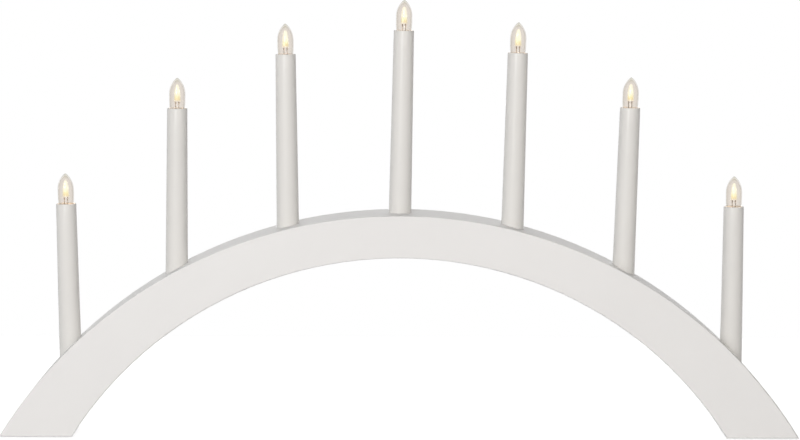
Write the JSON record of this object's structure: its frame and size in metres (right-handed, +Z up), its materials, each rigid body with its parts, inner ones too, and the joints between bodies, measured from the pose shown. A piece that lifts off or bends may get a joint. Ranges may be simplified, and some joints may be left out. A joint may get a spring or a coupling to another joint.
{
  "type": "candle arch",
  "caption": "White electric candle arch: a flat-faced wooden bow on two feet that carries upright candle sleeves with lit clear screw-in candle lamps.",
  "frame": {"origin": "on the floor under the middle of the bow, midway through its depth", "axes": "+X along the bow to the right as seen from the front, -Y towards the front, +Z up"},
  "size_m": [0.65, 0.055, 0.3545],
  "materials": {
    "bow_paint": "matte white paint on wood",
    "felt": "pale grey felt",
    "strip_plastic": "matte white",
    "screw_steel": "zinc plated",
    "sleeve_plastic": "satin white",
    "holder_plastic": "matte white",
    "wire_sheath": "smooth white sheath",
    "contact_brass": "bare brass",
    "clear_glass": "clear",
    "cap_nickel": "nickel plated",
    "tip_solder": "solder",
    "led_light": "clear lens, lit"
  },
  "bodies": {
    "arch": {"arch_beam": "bow_paint", "foot_pad_left": "felt", "foot_pad_right": "felt", "groove_cover": "strip_plastic", "cover_screws": "screw_steel", "cord_bush": "strip_plastic", "wire_connector": "holder_plastic", "link_wires": "wire_sheath", "supply_wires": "wire_sheath", "contact_tongues": "contact_brass", "candle_sleeve_1": "sleeve_plastic", "lamp_holder_1": "holder_plastic", "screw_shell_1": "contact_brass", "candle_sleeve_2": "sleeve_plastic", "lamp_holder_2": "holder_plastic", "screw_shell_2": "contact_brass", "candle_sleeve_3": "sleeve_plastic", "lamp_holder_3": "holder_plastic", "screw_shell_3": "contact_brass", "candle_sleeve_4": "sleeve_plastic", "lamp_holder_4": "holder_plastic", "screw_shell_4": "contact_brass", "candle_sleeve_5": "sleeve_plastic", "lamp_holder_5": "holder_plastic", "screw_shell_5": "contact_brass", "candle_sleeve_6": "sleeve_plastic", "lamp_holder_6": "holder_plastic", "screw_shell_6": "contact_brass", "candle_sleeve_7": "sleeve_plastic", "lamp_holder_7": "holder_plastic", "screw_shell_7": "contact_brass"},
    "lamp_1_contact": {"lamp_tip_1": "tip_solder"},
    "lamp_1": {"lamp_glass_1": "clear_glass", "lamp_cap_1": "cap_nickel", "lamp_led_1": "led_light"},
    "lamp_2_contact": {"lamp_tip_2": "tip_solder"},
    "lamp_2": {"lamp_glass_2": "clear_glass", "lamp_cap_2": "cap_nickel", "lamp_led_2": "led_light"},
    "lamp_3_contact": {"lamp_tip_3": "tip_solder"},
    "lamp_3": {"lamp_glass_3": "clear_glass", "lamp_cap_3": "cap_nickel", "lamp_led_3": "led_light"},
    "lamp_4_contact": {"lamp_tip_4": "tip_solder"},
    "lamp_4": {"lamp_glass_4": "clear_glass", "lamp_cap_4": "cap_nickel", "lamp_led_4": "led_light"},
    "lamp_5_contact": {"lamp_tip_5": "tip_solder"},
    "lamp_5": {"lamp_glass_5": "clear_glass", "lamp_cap_5": "cap_nickel", "lamp_led_5": "led_light"},
    "lamp_6_contact": {"lamp_tip_6": "tip_solder"},
    "lamp_6": {"lamp_glass_6": "clear_glass", "lamp_cap_6": "cap_nickel", "lamp_led_6": "led_light"},
    "lamp_7_contact": {"lamp_tip_7": "tip_solder"},
    "lamp_7": {"lamp_glass_7": "clear_glass", "lamp_cap_7": "cap_nickel", "lamp_led_7": "led_light"}
  },
  "joints": [
    {"name": "lamp_1_rise", "type": "slide", "parent": "arch", "child": "lamp_1_contact", "axis": [-0.0192, 0, 0.9998], "range_m": [0, 0.00726]},
    {"name": "lamp_1_turn", "type": "hinge", "parent": "lamp_1_contact", "child": "lamp_1", "pos_m": [-0.26867, 0, 0.03151], "axis": [-0.0192, 0, 0.9998], "range_deg": [0, 1440]},
    {"name": "lamp_2_rise", "type": "slide", "parent": "arch", "child": "lamp_2_contact", "axis": [0.0087, 0, 1], "range_m": [0, 0.00726]},
    {"name": "lamp_2_turn", "type": "hinge", "parent": "lamp_2_contact", "child": "lamp_2", "pos_m": [-0.18223, 0, 0.10945], "axis": [0.0087, 0, 1], "range_deg": [0, 1440]},
    {"name": "lamp_3_rise", "type": "slide", "parent": "arch", "child": "lamp_3_contact", "axis": [-0.0122, 0, 0.9999], "range_m": [0, 0.00726]},
    {"name": "lamp_3_turn", "type": "hinge", "parent": "lamp_3_contact", "child": "lamp_3", "pos_m": [-0.09111, 0, 0.15354], "axis": [-0.0122, 0, 0.9999], "range_deg": [0, 1440]},
    {"name": "lamp_4_rise", "type": "slide", "parent": "arch", "child": "lamp_4_contact", "axis": [0.0175, 0, 0.9998], "range_m": [0, 0.00726]},
    {"name": "lamp_4_turn", "type": "hinge", "parent": "lamp_4_contact", "child": "lamp_4", "pos_m": [-0.00016, 0, 0.173], "axis": [0.0175, 0, 0.9998], "range_deg": [0, 1440]},
    {"name": "lamp_5_rise", "type": "slide", "parent": "arch", "child": "lamp_5_contact", "axis": [0.0227, 0, 0.9997], "range_m": [0, 0.00726]},
    {"name": "lamp_5_turn", "type": "hinge", "parent": "lamp_5_contact", "child": "lamp_5", "pos_m": [0.0913, 0, 0.15524], "axis": [0.0227, 0, 0.9997], "range_deg": [0, 1440]},
    {"name": "lamp_6_rise", "type": "slide", "parent": "arch", "child": "lamp_6_contact", "axis": [0.0279, 0, 0.9996], "range_m": [0, 0.00726]},
    {"name": "lamp_6_turn", "type": "hinge", "parent": "lamp_6_contact", "child": "lamp_6", "pos_m": [0.18197, 0, 0.11114], "axis": [0.0279, 0, 0.9996], "range_deg": [0, 1440]},
    {"name": "lamp_7_rise", "type": "slide", "parent": "arch", "child": "lamp_7_contact", "axis": [0.0017, 0, 1], "range_m": [0, 0.00726]},
    {"name": "lamp_7_turn", "type": "hinge", "parent": "lamp_7_contact", "child": "lamp_7", "pos_m": [0.27163, 0, 0.03075], "axis": [0.0017, 0, 1], "range_deg": [0, 1440]}
  ],
  "couplings": [
    {"joint": "lamp_1_rise", "follows": "lamp_1_turn", "m_per_rad": 0.00028871},
    {"joint": "lamp_2_rise", "follows": "lamp_2_turn", "m_per_rad": 0.00028871},
    {"joint": "lamp_3_rise", "follows": "lamp_3_turn", "m_per_rad": 0.00028871},
    {"joint": "lamp_4_rise", "follows": "lamp_4_turn", "m_per_rad": 0.00028871},
    {"joint": "lamp_5_rise", "follows": "lamp_5_turn", "m_per_rad": 0.00028871},
    {"joint": "lamp_6_rise", "follows": "lamp_6_turn", "m_per_rad": 0.00028871},
    {"joint": "lamp_7_rise", "follows": "lamp_7_turn", "m_per_rad": 0.00028871}
  ]
}
